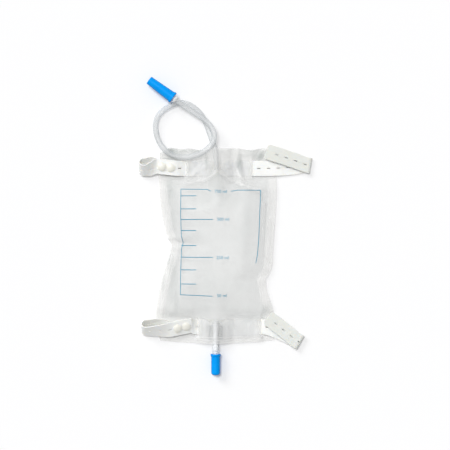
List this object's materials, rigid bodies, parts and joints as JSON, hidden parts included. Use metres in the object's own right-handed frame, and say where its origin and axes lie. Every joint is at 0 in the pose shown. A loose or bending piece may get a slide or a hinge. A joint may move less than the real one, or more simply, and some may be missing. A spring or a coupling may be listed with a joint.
{
  "type": "urine drainage leg bag",
  "caption": "Clear welded film bag with a graduated scale, a looped inlet hose with a capped connector, a capped outlet port and elastic leg straps with stud buttons.",
  "frame": {"origin": "middle of the flat back of the bag, on the face that lies on a table", "axes": "+Z out of the back film towards the scale on the front, +Y along the bag towards its inlet hose, +X to the right seen from the front"},
  "size_m": [0.216, 0.3714, 0.0213],
  "materials": {
    "bag_film": "soft translucent vinyl film, satin",
    "valve_film": "thin clear film",
    "strap_rubber": "matt off-white latex strap with slots",
    "stud_plastic": "satin cream plastic",
    "hose_vinyl": "clear glossy vinyl hose",
    "clear_plastic": "clear moulded plastic",
    "white_tube": "white soft tube",
    "blue_plastic": "satin bright blue plastic"
  },
  "bodies": {
    "bag": {"back_film": "bag_film", "front_film": "bag_film", "valve_front_flap": "valve_film", "valve_back_flap": "valve_film", "upper_strap": "strap_rubber", "lower_strap": "strap_rubber", "upper_stud_1": "stud_plastic", "upper_stud_2": "stud_plastic", "lower_stud_1": "stud_plastic", "lower_stud_2": "stud_plastic", "inlet_hose": "hose_vinyl", "inlet_connector": "clear_plastic", "outlet_port": "clear_plastic", "outlet_tube": "white_tube"},
    "inlet_cap_body": {"inlet_cap": "blue_plastic"},
    "outlet_cap_body": {"outlet_cap": "blue_plastic"}
  },
  "joints": [
    {"name": "inlet_cap_pull", "type": "slide", "parent": "bag", "child": "inlet_cap_body", "axis": [-0.8059, 0.592, 0], "range_m": [0, 0.03]},
    {"name": "outlet_cap_pull", "type": "slide", "parent": "bag", "child": "outlet_cap_body", "axis": [0, -1, 0], "range_m": [0, 0.02]}
  ]
}
